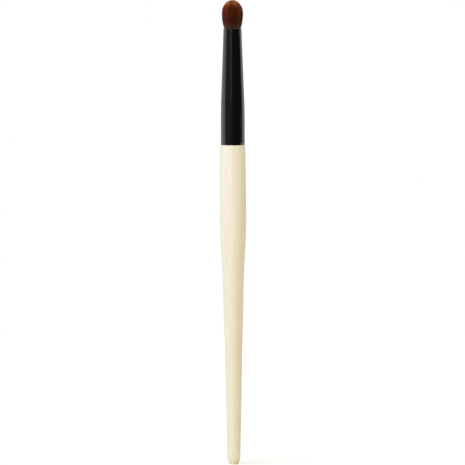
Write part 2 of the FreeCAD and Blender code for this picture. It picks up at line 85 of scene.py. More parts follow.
# A strand's facets are turned by its own angle in the bundle times this, so that neighbours differ.
FACET_TURN = 5.0
# Room round each strand's cell in the baked map, as a share of the cell.
CELL_MARGIN = 0.07
# Heights over the rim between which the bundle opens to the tuft's width, and where locks are fully formed.
OPENING_FOOT = -0.2 * MM
OPENING_TOP = 0.9 * MM
LOCKS_FORMED = 6.0 * MM
# Heights over the rim where one piece of hair hands over to the next, and how far they vary between hairs.
HEEL_TOP = -0.3 * MM
BELLY_TOP = 3.4 * MM
BELLY_SPREAD = 0.7 * MM


def linear(red, green, blue):
    """Scene colour of a screen colour given from 0 to 255."""
    def channel(value):
        level = value / 255
        return level / 12.92 if level <= 0.04045 else ((level + 0.055) / 1.055) ** 2.4
    return channel(red), channel(green), channel(blue)


def length(name, description, millimetres):
    """Property for a size, with its default in millimetres."""
    return bpy.props.FloatProperty(
        name=name, description=description, default=millimetres * MM, min=0.0, precision=5, unit="LENGTH"
    )


def share(name, description, default):
    """Property for a share from 0 to 1."""
    return bpy.props.FloatProperty(
        name=name, description=description, default=default, min=0.0, max=1.0, subtype="FACTOR"
    )


def colour(name, description, red, green, blue):
    """Property for a colour, with its default as a screen colour from 0 to 255."""
    default = linear(red, green, blue)
    return bpy.props.FloatVectorProperty(
        name=name, description=description, default=default, min=0.0, max=1.0, size=3, subtype="COLOR"
    )


def plain_number(name, description, default, least):
    """Property for a number without a unit."""
    return bpy.props.FloatProperty(name=name, description=description, default=default, min=least)


def lamp_power(name, description, watts):
    """Property for the power of a lamp."""
    return bpy.props.FloatProperty(name=name, description=description, default=watts, min=0.0, unit="POWER")


def camera_angle(name, description, degrees):
    """Property for an angle of the camera, with its default in degrees."""
    default = math.radians(degrees)
    return bpy.props.FloatProperty(name=name, description=description, default=default, subtype="ANGLE")


class HandleSettings(bpy.types.PropertyGroup):
    """Sizes and colours of the turned handle."""

    shoulder_height: length("Shoulder height", "Butt face to the shoulder under the ferrule", FOOT / MM)
    butt_radius: length("Butt radius", "Where the straight taper would meet the butt face", 2.31)
    butt_flat_radius: length("Butt flat radius", "Flat face in the middle of the butt", 1.5)
    butt_round: length("Butt round", "Round from the flat face into the taper", 5.0)
    waist_height: length("Waist height", "Butt face to the waist, where the taper begins", 65.9)
    waist_radius: length("Waist radius", "Handle at the waist", 3.77)
    grip_height: length("Grip height", "Butt face to the widest place of the grip", 91.6)
    grip_radius: length("Grip radius", "Handle at its widest place", 4.755)
    shoulder_radius: length("Shoulder radius", "Handle at the shoulder", 4.49)
    shoulder_round: length("Shoulder round", "Eased edge of the shoulder", 0.2)
    tenon_radius: length("Tenon radius", "Tenon that the ferrule slides over", 3.96)
    tenon_chamfer: length("Tenon chamfer", "Lead-in at the tenon's end", 0.6)
    lacquer: colour("Lacquer", "Cream lacquer over pale wood", 241, 232, 208)
    aged: colour("Aged lacquer", "The same lacquer from the waist down, a little yellower", 241, 231, 199)
    grain: colour("Grain", "Fibres that show through the lacquer", 226, 210, 173)
    pore: colour("Pore", "Short pores of the wood", 203, 183, 144)


class FerruleSettings(bpy.types.PropertyGroup):
    """Sizes and colours of the drawn ferrule."""

    socket_radius: length("Socket radius", "Outside of the straight socket", 4.36)
    socket_length: length("Socket length", "Foot to where socket and taper would cross", 12.8)
    blend_length: length("Blend length", "Reach of the curve between them along the socket", 4.5)
    mouth_radius: length("Mouth radius", "Outside of the taper at the rim", 3.29)
    wall: length("Wall", "Thickness of the drawn tube", 0.3)
    foot_round: length("Foot round", "Eased outer edge of the foot", 0.06)
    lacquer: colour("Lacquer", "Black stove lacquer", 10, 10, 11)
    # Bare metal at the rubbed rim, pale and warm enough to also be a painted highlight along the rim.
    rim_wear_and_highlight: colour("Bare metal", "Metal that shows where an edge is rubbed", 168, 156, 144)


class HairSettings(bpy.types.PropertyGroup):
    """Sizes and colours of the tuft of hair."""

    hairs: bpy.props.IntProperty(
        name="Hairs", description="Number of hairs", default=6000, min=1, max=MOST_HAIRS
    )
    seed: bpy.props.IntProperty(name="Seed", description="Start of everything random in the tuft", default=11)
    thickness: length("Thickness", "One hair", 0.078)
    mouth_radius: length("Mouth radius", "Bundle where it leaves the ferrule", 2.93)
    neck_radius: length("Neck radius", "Bundle under its binding thread", 2.53)
    neck_top: length("Neck top", "Rim down to the upper end of the tied neck", 8.975)
    neck_foot: length("Neck foot", "Rim down to the lower end of the tied neck", 13.425)
    root_flare: length("Root flare", "How far the cut roots spread past the neck", 0.3)
    tuft_radius: length("Tuft radius", "Tuft at its widest place", 3.8)
    widest_height: length("Widest height", "Rim up to the widest place", 5.5)
    side_curve: length("Side curve", "Radius of the tuft's side, seen from the front", 22.0)
    lean_start: length("Lean start", "Height over the rim from which hairs lean in to the dome", 3.2)
    lean: plain_number("Lean", "How much more the inner hairs draw to the middle of the dome", 1.35, 1.0)
    ragged: length("Ragged", "Difference in length between hairs that end side by side", 0.13)
    sway: length("Sway", "How far a hair's tip strays from its neighbours", 0.18)
    lock_size: length("Lock size", "Width of the locks that hairs gather in", 1.1)
    lock_pull: length("Lock pull", "How far hairs move towards their lock", 0.24)
    tip_taper: share("Tip taper", "How much of its thickness a hair loses at its tip", 0.35)
    root_colour: colour("Root colour", "Hair at the rim", 98, 68, 56)
    middle_colour: colour("Middle colour", "Hair at half height", 92, 38, 18)
    upper_colour: colour("Upper colour", "Hair where the dome begins", 124, 54, 22)
    tip_colour: colour("Tip colour", "Worn and sunlit ends of the hair", 236, 142, 62)


class BondSettings(bpy.types.PropertyGroup):
    """Colours of what holds the brush together inside the ferrule."""

    epoxy: colour("Epoxy", "Set glue round the roots of the hair", 190, 152, 96)
    adhesive: colour("Adhesive", "Thin glue round the tenon", 226, 216, 190)
    cotton: colour("Cotton", "Binding thread", 222, 214, 196)


class StageSettings(bpy.types.PropertyGroup):
    """Camera, light and floor."""

    picture_height: length("Picture height", "What the camera's picture takes in at the brush", 170.07)
    picture_middle: length("Picture middle", "Height of the middle of the picture", 84.93)
    lens: bpy.props.FloatProperty(
        name="Lens", description="Focal length of the camera", default=1000.0, min=1.0, unit="CAMERA"
    )
    roll: camera_angle("Roll", "Turn of the camera about its line of sight", 0.2)
    elevation: camera_angle("Elevation", "How far the camera looks down", 2.9)
    shift: length("Shift", "How far the brush stands right of the picture's middle", 0.24)
    key_power: lamp_power("Key power", "Large soft lamp at the front on the left", 1.2)
    key_colour: colour("Key colour", "Cool daylight of the key lamp", 244, 248, 255)
    strip_power: lamp_power("Strip power", "Tall lamp that draws a line on the ferrule", 0.13)
    window_power: plain_number("Window power", "How bright the window at the front on the left is", 1.76, 0.0)
    window: colour("Window", "Cool daylight from the window", 227, 236, 255)
    wall: colour("Wall", "Warm wall at the front on the right", 233, 217, 179)
    backdrop: colour("Backdrop", "Light that comes back from the paper behind", 168, 165, 155)
    background: colour("Background", "Paper behind the brush", 255, 255, 255)
    floor: colour("Floor", "Pale floor that the brush stands on", 238, 238, 238)


class Field:
    """A value in a node tree that plain arithmetic works on."""

    def __init__(self, nodes, socket):
        self.nodes = nodes
        self.socket = socket

    def __add__(self, other):
        return self.nodes.math("ADD", self, other)

    def __radd__(self, other):
        return self.nodes.math("ADD", other, self)

    def __sub__(self, other):
        return self.nodes.math("SUBTRACT", self, other)

    def __rsub__(self, other):
        return self.nodes.math("SUBTRACT", other, self)

    def __mul__(self, other):
        return self.nodes.math("MULTIPLY", self, other)

    def __rmul__(self, other):
        return self.nodes.math("MULTIPLY", other, self)

    def __truediv__(self, other):
        return self.nodes.math("DIVIDE", self, other)

    def __rtruediv__(self, other):
        return self.nodes.math("DIVIDE", other, self)

    def __pow__(self, other):
        return self.nodes.math("POWER", self, other)


class Nodes:
    """Short calls that add nodes to one tree and join them."""

    def __init__(self, tree):
        self.tree = tree

    def feed(self, node, key, value):
        """Set one input, named or numbered, or join a field or a socket to it."""
        if isinstance(key, int):
            socket = node.inputs[key]
        else:
            socket = next(item for item in node.inputs if item.enabled and item.name == key)
        if isinstance(value, Field):
            value = value.socket
        if isinstance(value, bpy.types.NodeSocket):
            self.tree.links.new(value, socket)
        else:
            socket.default_value = value

    def add(self, kind, inputs=None, **options):
        """Add a node, set its options, then its inputs."""
        node = self.tree.nodes.new(kind)
        for option, value in options.items():
            setattr(node, option, value)
        for key, value in (inputs or {}).items():
            self.feed(node, key, value)
        return node

    def field(self, kind, inputs=None, output=None, **options):
        """Add a node and give one of its outputs, the first that is on unless it is named."""
        node = self.add(kind, inputs, **options)
        socket = next(item for item in node.outputs if item.enabled and output in (None, item.name))
        return Field(self, socket)

    def math(self, operation, *values):
        return self.field("ShaderNodeMath", dict(enumerate(values)), operation=operation)

    def vector(self, operation, *values):
        """Vector maths; a scale takes its number as the second value."""
        keys = (0, 3) if operation == "SCALE" else (0, 1)
        return self.field("ShaderNodeVectorMath", dict(zip(keys, values)), operation=operation)

    def combine(self, x, y, z):
        return self.field("ShaderNodeCombineXYZ", {0: x, 1: y, 2: z})

    def part(self, vector, axis):
        return self.field("ShaderNodeSeparateXYZ", {0: vector}, output=axis)

    def smooth(self, value, low, high):
        """Smooth step from 0 at low to 1 at high."""
        inputs = {"Value": value, "From Min": low, "From Max": high}
        return self.field("ShaderNodeMapRange", inputs, interpolation_type="SMOOTHSTEP")

    def mix(self, factor, first, second, blend="MIX"):
        """Colour between two colours."""
        inputs = {"Factor": factor, "A": first, "B": second}
        return self.field("ShaderNodeMix", inputs, data_type="RGBA", blend_type=blend)

    def shaded(self, tint, shade):
        """Colour times a number."""
        return self.mix(1.0, tint, self.combine(shade, shade, shade), "MULTIPLY")

    def noise(self, vector, scale, detail=2.0, roughness=0.5, output="Fac"):
        inputs = {"Vector": vector, "Scale": scale, "Detail": detail, "Roughness": roughness}
        return self.field("ShaderNodeTexNoise", inputs, output=output)

    def stretched(self, vector, x, y, z):
        """Coordinates scaled by a number along each axis."""
        return self.vector("MULTIPLY", vector, (x, y, z))


def rgba(values):
    return (*values, 1.0)


def label_of(name):
    """Label of the socket that a name in the script stands for."""
    return name.replace("_", " ").title().replace("Ior", "IOR")


def new_tree(name, kind, inputs, outputs):
    """Node group with named sockets; gives the group, its nodes, its inputs as fields and its output node."""
    tree = bpy.data.node_groups.new(name, kind)
    for label, socket_type in inputs:
        tree.interface.new_socket(label, in_out="INPUT", socket_type=socket_type)
    for label, socket_type in outputs:
        tree.interface.new_socket(label, in_out="OUTPUT", socket_type=socket_type)
    nodes = Nodes(tree)
    entry = nodes.add("NodeGroupInput")
    fields = {socket.name: Field(nodes, socket) for socket in entry.outputs if socket.name}
    return tree, nodes, fields, nodes.add("NodeGroupOutput")


def run_tree(name, mesh, tree, values):
    """Object whose mesh is what a geometry tree makes of a mesh, with the tree's inputs given by name."""
    piece = bpy.data.objects.new(name, mesh)
    bpy.context.scene.collection.objects.link(piece)
    modifier = piece.modifiers.new(tree.name, "NODES")
    modifier.node_group = tree
    for item in tree.interface.items_tree:
        if item.in_out == "INPUT" and item.name in values:
            modifier[item.identifier] = values[item.name]
    depsgraph = bpy.context.evaluated_depsgraph_get()
    made = bpy.data.meshes.new_from_object(
        piece.evaluated_get(depsgraph), preserve_all_data_layers=True, depsgraph=depsgraph
    )
    piece.modifiers.clear()
    piece.data = made
    made.name = name
    bpy.data.meshes.remove(mesh)
    if not made.polygons:
        raise RuntimeError(f"{name} came out empty")
    return piece


def turning_tree():
    """Geometry tree that turns a row of points, each a radius and a height, about the axis."""
    tree, nodes, size, result = new_tree(
        "Turned piece",
        "GeometryNodeTree",
        (
            ("Profile", "NodeSocketGeometry"),
            ("Segments", "NodeSocketInt"),
            ("Crease Angle", "NodeSocketFloat"),
            ("Material", "NodeSocketMaterial"),
        ),
        (("Piece", "NodeSocketGeometry"),),
    )
    rows = nodes.field("GeometryNodeAttributeDomainSize", {"Geometry": size["Profile"]}, output="Point Count")
    grid = nodes.add("GeometryNodeMeshGrid", {"Vertices X": size["Segments"] + 1, "Vertices Y": rows})
    mapped = nodes.field(
        "GeometryNodeStoreNamedAttribute",
        {"Geometry": grid.outputs["Mesh"], "Name": BAKE_MAP, "Value": grid.outputs["UV Map"]},
        data_type="FLOAT2",
        domain="CORNER",
    )
    index = nodes.field("GeometryNodeInputIndex")
    column = nodes.math("FLOOR", (index + 0.5) / rows)
    point = nodes.field(
        "GeometryNodeSampleIndex",
        {
            "Geometry": size["Profile"],
            "Value": nodes.field("GeometryNodeInputPosition"),
            "Index": index - column * rows,
        },
        data_type="FLOAT_VECTOR",
    )
    radius = nodes.part(point, "X")
    angle = column / size["Segments"] * math.tau
    place = nodes.combine(
        radius * nodes.math("COSINE", angle), radius * nodes.math("SINE", angle), nodes.part(point, "Z")
    )
    turned = nodes.field("GeometryNodeSetPosition", {"Geometry": mapped, "Position": place})
    closed = nodes.field("GeometryNodeMergeByDistance", {"Geometry": turned, "Distance": MERGE_DISTANCE})
    edge_angle = nodes.field("GeometryNodeInputMeshEdgeAngle", output="Unsigned Angle")
    soft = nodes.field(
        "GeometryNodeSetShadeSmooth", {"Geometry": closed, "Shade Smooth": True}, domain="FACE"
    )
    creased = nodes.field(
        "GeometryNodeSetShadeSmooth",
        {"Geometry": soft, "Shade Smooth": nodes.math("LESS_THAN", edge_angle, size["Crease Angle"])},
        domain="EDGE",
    )
    finished = nodes.field("GeometryNodeSetMaterial", {"Geometry": creased, "Material": size["Material"]})
    nodes.feed(result, 0, finished)
    return tree


def at(radius, height):
    """Point of a profile."""
    return Vector((radius, height))


def line(start, end):
    """Points from start to end, about a step apart."""
    count = max(1, round((end - start).length / PROFILE_STEP))
    return [start.lerp(end, number / count) for number in range(count + 1)]


def arc(start, end, centre, count=None):
    """Points from start to end about a centre, the short way round."""
    first = start - centre
    last = end - centre
    turn = math.atan2(first.x * last.y - first.y * last.x, first.dot(last))
    count = count or max(1, round(abs(turn) * first.length / PROFILE_STEP))
    points = []
    for number in range(count + 1):
        angle = turn * number / count
        across = first.x * math.cos(angle) - first.y * math.sin(angle)
        up = first.x * math.sin(angle) + first.y * math.cos(angle)
        points.append(centre + at(across, up))
    return points


def turned_piece(name, stretches, tree, material):
    """Piece turned from stretches of profile that run on from each other."""
    points = [stretches[0][0]]
    for stretch in stretches:
        points += stretch[1:]
    profile = bpy.data.meshes.new(f"{name}_profile")
    profile.from_pydata([(point.x, 0.0, point.y) for point in points], [], [])
    values = {"Segments": ROUND_SEGMENTS, "Crease Angle": CREASE_ANGLE, "Material": material}
    return run_tree(name, profile, tree, values)


def handle_profile(sizes):
    """Half-section of the handle from the middle of the butt up to the middle of the tenon's end."""
    flat_edge = at(sizes.butt_flat_radius, 0.0)
    taper_foot = at(sizes.butt_radius, 0.0)
    waist = at(sizes.waist_radius, sizes.waist_height)
    grip = at(sizes.grip_radius, sizes.grip_height)
    shoulder = at(sizes.shoulder_radius, sizes.shoulder_height)
    tenon_root = at(sizes.tenon_radius, sizes.shoulder_height)
    tenon_edge = at(sizes.tenon_radius, TENON_END - sizes.tenon_chamfer)
    tenon_end = at(sizes.tenon_radius - sizes.tenon_chamfer, TENON_END)

    # The butt's round touches the taper and passes through the edge of the flat face.
    up = (waist - taper_foot).normalized()
    outward = at(up.y, -up.x)
    inset = (flat_edge - taper_foot).dot(outward) + sizes.butt_round
    rise = (flat_edge - taper_foot).dot(up) + math.sqrt(sizes.butt_round ** 2 - inset ** 2)
    round_top = taper_foot + up * rise

    # Waist and belly are two arcs of one radius: the belly leaves the grip upright, and the waist's hollow
    # runs into the taper.
    drop = waist - grip
    spread = outward + at(1.0, 0.0)
    lean = drop.dot(spread)
    bend = drop.dot(drop) / (math.sqrt(lean ** 2 + (4 - spread.dot(spread)) * drop.dot(drop)) - lean)
    belly_centre = grip - at(bend, 0.0)
    waist_centre = waist + outward * bend
    turning_point = (belly_centre + waist_centre) / 2

    reach = shoulder.y - grip.y
    swell = grip.x - shoulder.x
    barrel_centre = grip - at((reach ** 2 + swell ** 2) / (2 * swell), 0.0)
    barrel_top = shoulder - at(0.0, sizes.shoulder_round)
    shoulder_inner = shoulder - at(sizes.shoulder_round, 0.0)
    return [
        line(at(0.0, 0.0), flat_edge),
        arc(flat_edge, round_top, round_top - outward * sizes.butt_round, 8),
        line(round_top, waist),
        arc(waist, turning_point, waist_centre),
        arc(turning_point, grip, belly_centre),
        arc(grip, barrel_top, barrel_centre),
        arc(barrel_top, shoulder_inner, shoulder - at(sizes.shoulder_round, sizes.shoulder_round), 6),
        line(shoulder_inner, tenon_root),
        line(tenon_root, tenon_edge),
        line(tenon_edge, tenon_end),
        line(tenon_end, at(0.0, TENON_END)),
    ]


def ferrule_profile(sizes):
    """Closed section of the ferrule's wall, from the foot up the outside, over the rim and down the bore."""
    wall = at(sizes.wall, 0.0)
    round_foot = at(sizes.socket_radius - sizes.foot_round, FOOT)
    outer_foot = at(sizes.socket_radius, FOOT + sizes.foot_round)
    inner_foot = at(sizes.socket_radius, FOOT) - wall
    corner = at(sizes.socket_radius, FOOT + sizes.socket_length)
    mouth = at(sizes.mouth_radius, RIM)
    up = (mouth - corner).normalized()
    inward = at(-up.y, up.x) * sizes.wall
    straight_top = corner - at(0.0, sizes.blend_length)
    taper_foot = corner + up * sizes.blend_length
    blend_radius = sizes.blend_length / math.tan(math.atan2(-up.x, up.y) / 2)
    blend_centre = straight_top - at(blend_radius, 0.0)
    rim_outer = mouth - up * (sizes.wall / 2)
    rim_centre = rim_outer + inward / 2
    rim_top = rim_centre + up * (sizes.wall / 2)
    return [
        line(inner_foot, round_foot),
        arc(round_foot, outer_foot, at(sizes.socket_radius - sizes.foot_round, FOOT + sizes.foot_round), 4),
        line(outer_foot, straight_top),
        arc(straight_top, taper_foot, blend_centre),
        line(taper_foot, rim_outer),
        arc(rim_outer, rim_top, rim_centre, 6),
        arc(rim_top, rim_outer + inward, rim_centre, 6),
        line(rim_outer + inward, taper_foot + inward),
        arc(taper_foot + inward, straight_top - wall, blend_centre),
        line(straight_top - wall, inner_foot),
    ]


def hair_tree():
    """Geometry tree that grows one stretch of every hair of the tuft, between two heights over the rim."""
    lengths = (
        "From", "From Spread", "To", "To Spread", "Rim", "Thickness", "Mouth Radius", "Neck Radius",
        "Neck Top", "Neck Foot", "Root Flare", "Root Depth", "Tuft Radius", "Widest Height", "Tip Height",
        "Side Curve", "Lean Start", "Ragged", "Sway", "Lock Size", "Lock Pull", "Lean", "Tip Taper",
    )
    counts = ("Hairs", "Seed", "Sides", "Rings")
    tree, nodes, size, result = new_tree(
        "Tuft of hair",
        "GeometryNodeTree",
        [("Geometry", "NodeSocketGeometry")]
        + [(name, "NodeSocketInt") for name in counts]
        + [(name, "NodeSocketFloat") for name in lengths]
        + [("Material", "NodeSocketMaterial")],
        [("Hair", "NodeSocketGeometry")],
    )

    def keep(geometry, name, value, kind="FLOAT", domain="POINT"):
        inputs = {"Geometry": geometry, "Name": name, "Value": value}
        return nodes.field("GeometryNodeStoreNamedAttribute", inputs, data_type=kind, domain=domain)

    def recall(name, kind="FLOAT"):
        inputs = {"Name": name}
        return nodes.field("GeometryNodeInputNamedAttribute", inputs, data_type=kind, output="Attribute")

    def chance(number, low, high, kind="FLOAT"):
        inputs = {"Min": low, "Max": high, "Seed": size["Seed"] + number}
        return nodes.field("FunctionNodeRandomValue", inputs, data_type=kind)

    # One point for each hair, spread through the bundle as seeds are in a sunflower.
    index = nodes.field("GeometryNodeInputIndex")
    points = nodes.field("GeometryNodePoints", {"Count": size["Hairs"]})
    points = keep(points, "number", index)
    points = keep(points, "rank", nodes.math("SQRT", (index + chance(1, 0.1, 0.9)) / size["Hairs"]))
    points = keep(points, "turn", index * GOLDEN_ANGLE + chance(2, -0.02, 0.02))
    points = keep(points, "hair_tone", chance(3, 0.0, 1.0))
    points = keep(points, "trim", chance(4, 0.0, 1.0))
    stray = chance(5, (-1.0, -1.0, 0.0), (1.0, 1.0, 0.0), "FLOAT_VECTOR")
    points = keep(points, "stray", stray, "FLOAT_VECTOR")

    # The same short closed strand stands on every point.
    strand = nodes.add(
        "GeometryNodeMeshCylinder",
        {"Vertices": size["Sides"], "Side Segments": size["Rings"], "Radius": 1.0, "Depth": 1.0},
        fill_type="NGON",
    )
    position = nodes.field("GeometryNodeInputPosition")
    shape = keep(strand.outputs["Mesh"], "along", nodes.part(position, "Z") + 0.5)
    shape = keep(shape, "across", nodes.stretched(position, 1.0, 1.0, 0.0), "FLOAT_VECTOR")
    shape = keep(shape, "strand_map", strand.outputs["UV Map"], "FLOAT2", "CORNER")
    shape = nodes.field(
        "GeometryNodeSetShadeSmooth",
        {"Geometry": shape, "Shade Smooth": strand.outputs["Side"]},
        domain="FACE",
    )
    standing = nodes.field("GeometryNodeInstanceOnPoints", {"Points": points, "Instance": shape})
    hairs = nodes.field("GeometryNodeRealizeInstances", {"Geometry": standing})

    # A hair ends on the dome, so its rank in the bundle gives the height that it reaches.
    rank = recall("rank")
    along = recall("along")
    ends = rank ** size["Lean"]
    dome = size["Tip Height"] - size["Widest Height"]
    reach = size["Widest Height"] + dome * nodes.math("SQRT", nodes.math("MAXIMUM", 1.0 - ends * ends, 0.0))
    reach = reach - recall("trim") ** 2 * size["Ragged"]
    # Stretches and the rings of a strand end at uneven heights, so that no line runs across the tuft.
    spread = recall("trim") - 0.5
    bottom = size["From"] + spread * size["From Spread"]
    top = nodes.math("MINIMUM", reach, size["To"] + spread * size["To Spread"])
    ring = along + (recall("hair_tone") - 0.5) * RING_SPREAD * along * (1.0 - along)
    height = bottom + (top - bottom) * ring

    # How wide the whole bundle is at that height: tied and flared in the ferrule, swelling over the rim.
    throat = (size["Mouth Radius"] - size["Neck Radius"]) / size["Neck Top"]
    flare = size["Root Flare"] / (size["Root Depth"] - size["Neck Foot"])
    held = size["Neck Radius"] + throat * nodes.math("MAXIMUM", height + size["Neck Top"], 0.0)
    held = held + flare * nodes.math("MAXIMUM", -1.0 * size["Neck Foot"] - height, 0.0)
    below = nodes.math("MAXIMUM", size["Widest Height"] - height, 0.0)
    free = size["Tuft Radius"] - below * below / (size["Side Curve"] * 2.0)
    opened = nodes.smooth(height, OPENING_FOOT, OPENING_TOP)
    bundle = held + (free - held) * opened

    # Towards its end a hair leans in to its place on the dome.
    leaning = (height - size["Lean Start"]) / (reach - size["Lean Start"])
    leaning = nodes.math("MINIMUM", nodes.math("MAXIMUM", leaning, 0.0), 1.0)
    radius = rank * bundle - (rank - ends) * size["Tuft Radius"] * leaning * leaning

    # Hairs gather in locks and stray a little from them.
    turn = recall("turn")
    way = nodes.combine(nodes.math("COSINE", turn), nodes.math("SINE", turn), 0.0)
    root = nodes.vector("SCALE", way, rank * size["Tuft Radius"])
    lock = nodes.noise(root, scale=1.0 / size["Lock Size"], detail=1.0, output="Color")
    pull = nodes.stretched(nodes.vector("SUBTRACT", lock, (0.5, 0.5, 0.5)), 1.0, 1.0, 0.0)
    pull = nodes.vector("SCALE", pull, size["Lock Pull"] * nodes.smooth(height, 0.0, LOCKS_FORMED))
    free_share = nodes.math("MAXIMUM", height, 0.0) / size["Tip Height"]
    stray = nodes.vector("SCALE", recall("stray", "FLOAT_VECTOR"), size["Sway"] * free_share)
    centre = nodes.vector("SCALE", way, radius)
    centre = nodes.vector("ADD", centre, nodes.vector("ADD", pull, stray))
    centre = nodes.vector("ADD", centre, nodes.combine(0.0, 0.0, size["Rim"] + height))

    half = size["Thickness"] / 2.0 * (1.0 - size["Tip Taper"] * nodes.smooth(along, TAPER_START, 1.0))
    across = nodes.field(
        "ShaderNodeVectorRotate",
        {"Vector": recall("across", "FLOAT_VECTOR"), "Angle": turn * FACET_TURN},
        rotation_type="Z_AXIS",
    )
    place = nodes.vector("ADD", centre, nodes.vector("SCALE", across, half))

    # What the material reads, kept before the hairs are moved, and a map with a cell for each hair.
    columns = nodes.math("CEIL", nodes.math("SQRT", size["Hairs"]))
    number = recall("number")
    row = nodes.math("FLOOR", (number + 0.5) / columns)
    cell = nodes.combine(number - row * columns, row, 0.0)
    inner = 1.0 - 2 * CELL_MARGIN
    strand_map = nodes.stretched(recall("strand_map", "FLOAT_VECTOR"), inner, inner, 0.0)
    cell = nodes.vector("ADD", nodes.vector("ADD", cell, strand_map), (CELL_MARGIN, CELL_MARGIN, 0.0))
    hairs = keep(hairs, BAKE_MAP, nodes.vector("SCALE", cell, 1.0 / columns), "FLOAT2", "CORNER")
    hairs = keep(hairs, "hair_height", height / size["Tip Height"])
    hairs = keep(hairs, "hair_end", height / reach)
    # Each hair's place from left to right, which the material uses to paint light on the tuft's sides.
    hairs = keep(hairs, "hair_side", nodes.part(way, "X") * rank)
    hairs = keep(hairs, "hair_lock", nodes.noise(root, scale=1.0 / size["Lock Size"], detail=1.0))
    hairs = nodes.field("GeometryNodeSetPosition", {"Geometry": hairs, "Position": place})
    for name in ("rank", "turn", "trim", "stray", "along", "across", "strand_map", "number"):
        hairs = nodes.field("GeometryNodeRemoveAttribute", {"Geometry": hairs, "Name": name})
    finished = nodes.field("GeometryNodeSetMaterial", {"Geometry": hairs, "Material": size["Material"]})
    nodes.feed(result, 0, finished)
    return tree


def speckle_group():
    """Shader group for the fine unevenness of a lacquered or set surface."""
    tree, nodes, size, result = new_tree(
        "Fine speckle",
        "ShaderNodeTree",
        (
            ("Vector", "NodeSocketVector"),
            ("Speck Size", "NodeSocketFloat"),
            ("Low", "NodeSocketFloat"),
            ("High", "NodeSocketFloat"),
        ),
        (("Value", "NodeSocketFloat"), ("Speck", "NodeSocketFloat")),
    )
    fine = nodes.noise(size["Vector"], scale=1.0 / size["Speck Size"], detail=3.0, roughness=0.6)
    broad = nodes.noise(size["Vector"], scale=0.12 / size["Speck Size"])
    speck = fine * 0.6 + broad * 0.4
    nodes.feed(result, "Value", size["Low"] + (size["High"] - size["Low"]) * nodes.smooth(speck, 0.3, 0.7))
    nodes.feed(result, "Speck", fine)
    return tree


def rubbed_group():
    """Shader group for a patchy mask round a turned edge at one height on the axis: rubbing wear, and also
    painted light where it marks the ferrule's rim and the handle under the ferrule's foot.
    """
    tree, nodes, size, result = new_tree(
        "Rubbed edge",
        "ShaderNodeTree",
        (
            ("Vector", "NodeSocketVector"),
            ("Edge Height", "NodeSocketFloat"),
            ("Reach", "NodeSocketFloat"),
            ("Patch Size", "NodeSocketFloat"),
        ),
        (("Mask", "NodeSocketFloat"),),
    )
    away = nodes.math("ABSOLUTE", nodes.part(size["Vector"], "Z") - size["Edge Height"])
    near = 1.0 - nodes.smooth(away / size["Reach"], 0.0, 1.0)
    patch = nodes.noise(size["Vector"], scale=1.0 / size["Patch Size"], detail=3.0, roughness=0.6)
    nodes.feed(result, "Mask", near * nodes.smooth(patch, 0.35, 0.65))
    return tree


def group_of(name, make):
    """Node group that is built the first time it is asked for."""
    return bpy.data.node_groups.get(name) or make()


class Finish:
    """A material with its Principled shader and the coordinates that its pattern is laid out in."""

    def __init__(self, name, **constants):
        self.material = bpy.data.materials.new(name)
        self.material.use_nodes = True
        self.nodes = Nodes(self.material.node_tree)
        self.shader = self.material.node_tree.nodes["Principled BSDF"]
        for socket, value in constants.items():
            self.shader.inputs[label_of(socket)].default_value = value
        self.place = self.nodes.field("ShaderNodeTexCoord", output="Object")

    def set(self, socket, value):
        self.nodes.feed(self.shader, socket, value)

    def group(self, tree, output, **inputs):
        named = {label_of(name): value for name, value in inputs.items()}
        named["Vector"] = self.place
        return self.nodes.field("ShaderNodeGroup", named, output=output, node_tree=tree)

    def speckle(self, speck_size, low, high, output="Value"):
        tree = group_of("Fine speckle", speckle_group)
        return self.group(tree, output, speck_size=speck_size, low=low, high=high)

    def rubbed(self, edge_height, reach, patch_size):
        tree = group_of("Rubbed edge", rubbed_group)
        return self.group(tree, "Mask", edge_height=edge_height, reach=reach, patch_size=patch_size)

    def bump(self, height, distance, strength):
        inputs = {"Height": height, "Distance": distance, "Strength": strength}
        self.set("Normal", self.nodes.field("ShaderNodeBump", inputs))


def lacquered_wood(settings):
    """Cream lacquer over pale wood whose grain runs along the handle."""
    finish = Finish("cream lacquered wood", coat_weight=0.35, coat_roughness=0.2, ior=1.5)
    nodes = finish.nodes
    along = nodes.stretched(finish.place, 1.0, 1.0, 0.035)
    fibre = nodes.noise(along, scale=2200.0, detail=4.0, roughness=0.6)
    band = nodes.noise(along, scale=420.0)
    pore = nodes.noise(nodes.stretched(finish.place, 1.0, 1.0, 0.12), scale=3600.0, detail=1.0)
    pore = nodes.smooth(pore, 0.66, 0.78)
    mottle = finish.speckle(2.2 * MM, low=0.0, high=1.0)
    tint = nodes.smooth(fibre * 0.5 + band * 0.35 + mottle * 0.15, 0.35, 0.75)
    pale_above = 100.0 * MM
    aged_below = 66.0 * MM
    yellowed = nodes.smooth(nodes.part(finish.place, "Z"), pale_above, aged_below)
    lacquer = nodes.mix(yellowed, rgba(settings.lacquer), rgba(settings.aged))
    wood = nodes.mix(tint * 0.55, lacquer, rgba(settings.grain))
    wood = nodes.mix(pore * 0.3, wood, rgba(settings.pore))
    rubbed = finish.rubbed(0.0, reach=3.0 * MM, patch_size=1.6 * MM)
    # Darker patches just under the ferrule's foot: painted shade in the joint between handle and ferrule,
    # laid in patches like rubbing.
    rubbed = rubbed + finish.rubbed(FOOT, reach=0.5 * MM, patch_size=0.8 * MM)
    finish.set("Base Color", nodes.mix(rubbed * 0.35, wood, rgba(settings.pore)))
    finish.set("Roughness", finish.speckle(0.5 * MM, low=0.36, high=0.48) + rubbed * 0.1)
    speck = finish.speckle(0.3 * MM, low=0.0, high=1.0, output="Speck")
    finish.bump(fibre * 0.5 + speck * 0.5 - pore * 0.6, distance=0.012 * MM, strength=0.5)
    return finish.material


